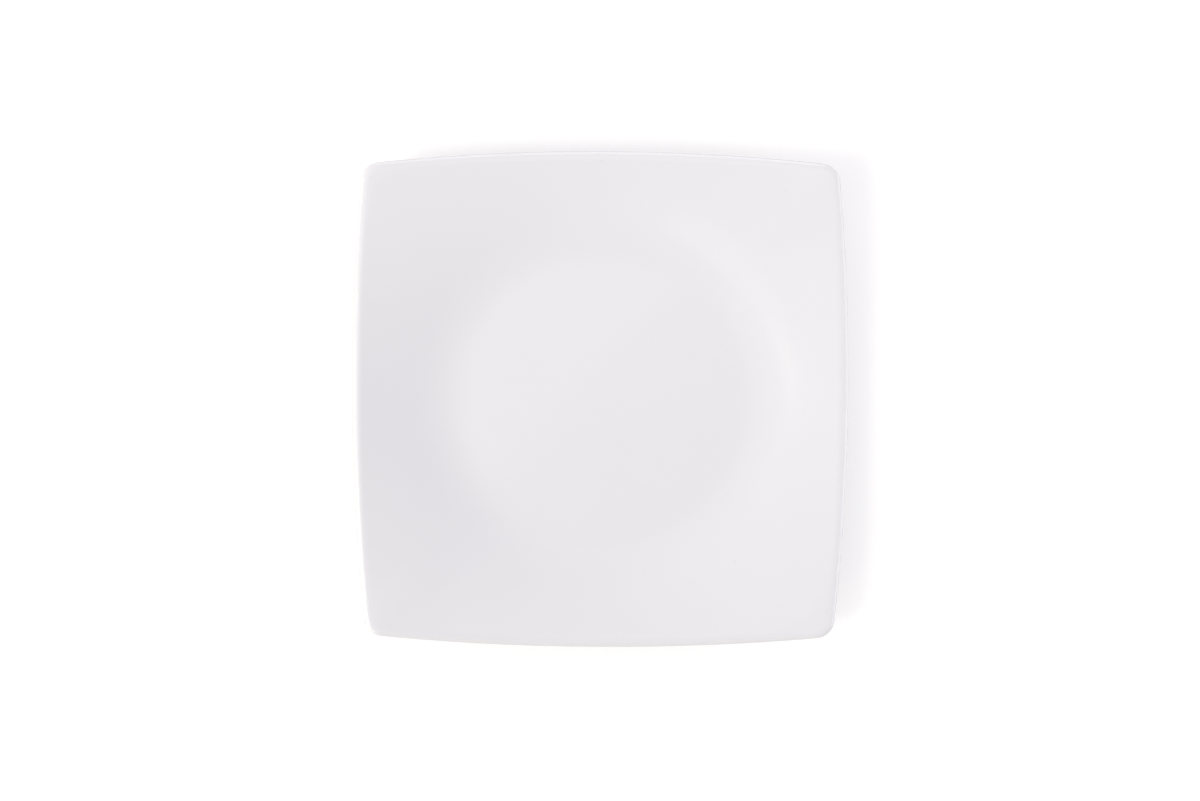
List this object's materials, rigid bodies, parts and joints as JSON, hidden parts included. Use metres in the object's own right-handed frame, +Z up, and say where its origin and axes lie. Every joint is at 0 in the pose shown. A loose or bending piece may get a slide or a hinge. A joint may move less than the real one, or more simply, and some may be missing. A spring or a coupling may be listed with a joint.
{
  "type": "square dessert plate",
  "caption": "Square dessert plate of glazed white porcelain with bowed sides, rounded corners, a flat round well, a sloping rim and a foot ring.",
  "frame": {"origin": "on the surface that the plate stands on, under the middle of the plate", "axes": "+Z up, X and Y square to the plate's sides"},
  "size_m": [0.2, 0.2, 0.0194],
  "materials": {
    "porcelain": "matte",
    "glaze": "polished"
  },
  "bodies": {
    "root": {"porcelain_body": "porcelain", "glaze_coat": "glaze", "base_glaze": "glaze"}
  },
  "joints": []
}
